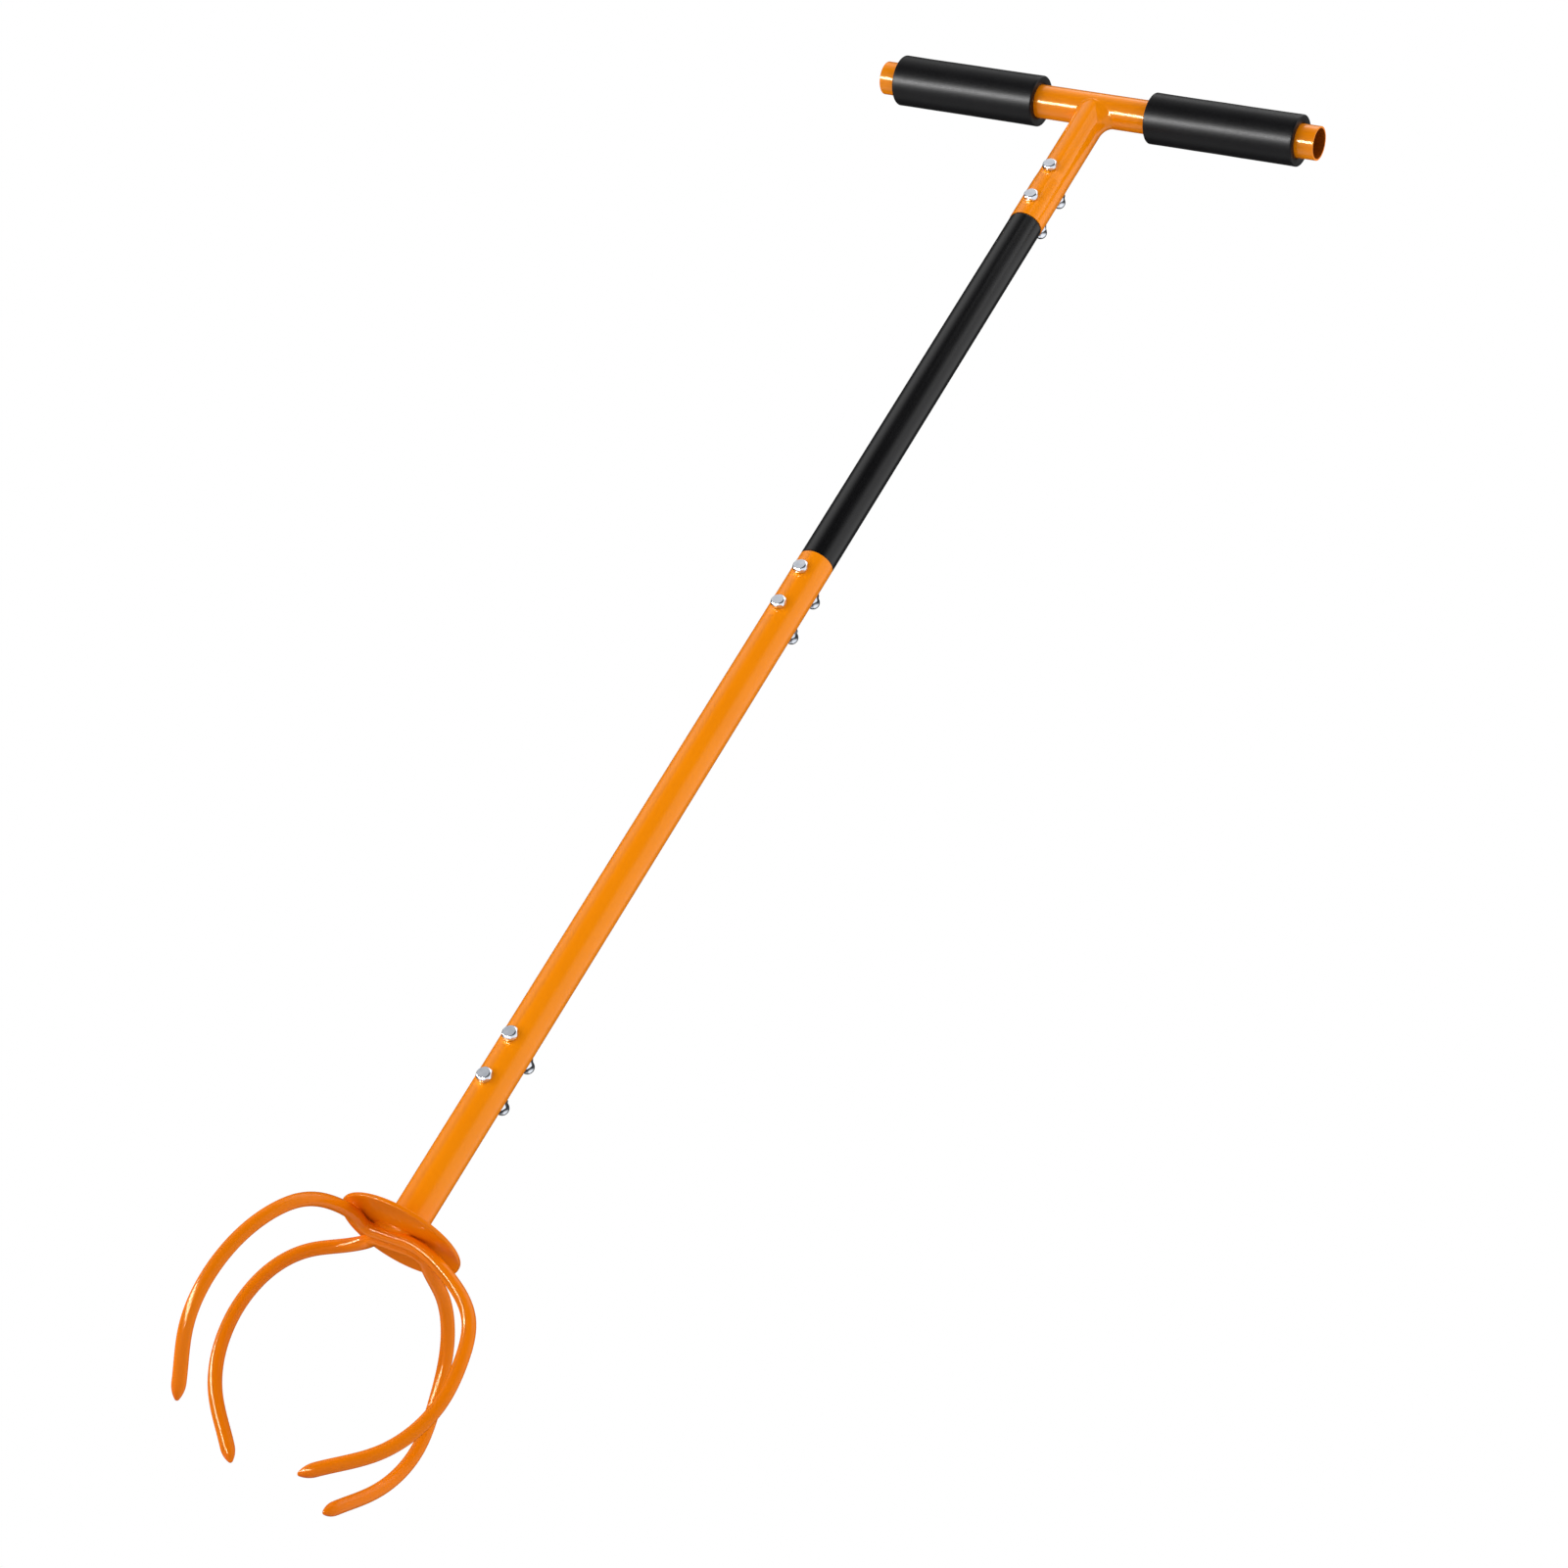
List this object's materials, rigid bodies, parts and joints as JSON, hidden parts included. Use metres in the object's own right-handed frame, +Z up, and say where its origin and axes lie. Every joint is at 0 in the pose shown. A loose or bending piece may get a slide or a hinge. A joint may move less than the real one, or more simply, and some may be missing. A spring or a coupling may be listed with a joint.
{
  "type": "hand cultivator",
  "caption": "Upright twist cultivator: a T handle with foam grips on a bolted tube shaft, ending in a disc with curved, pointed claw tines.",
  "frame": {"origin": "on the shaft axis, at the level of the tine tips", "axes": "+Z up the shaft to the handle, +X along the crossbar to the end seen open in the picture, +Y from the bolt heads to the cap nuts"},
  "size_m": [0.3564, 0.1851, 1.22],
  "materials": {
    "orange_coat": "gloss powder coat",
    "black_coat": "satin powder coat",
    "grip_foam": "matt closed-cell foam",
    "zinc": "bright zinc plate"
  },
  "bodies": {
    "root": {"crossbar": "orange_coat", "stem": "orange_coat", "stem_weld_right": "orange_coat", "stem_weld_left": "orange_coat", "lower_shaft": "orange_coat", "claw_socket": "orange_coat", "socket_weld": "orange_coat", "claw_disc": "orange_coat", "near_rod": "orange_coat", "far_rod": "orange_coat", "near_rod_weld": "orange_coat", "far_rod_weld": "orange_coat", "upper_shaft": "black_coat", "left_grip": "grip_foam", "right_grip": "grip_foam", "bolt_1": "zinc", "cap_nut_1": "zinc", "bolt_2": "zinc", "cap_nut_2": "zinc", "bolt_3": "zinc", "cap_nut_3": "zinc", "bolt_4": "zinc", "cap_nut_4": "zinc", "bolt_5": "zinc", "cap_nut_5": "zinc", "bolt_6": "zinc", "cap_nut_6": "zinc"}
  },
  "joints": []
}
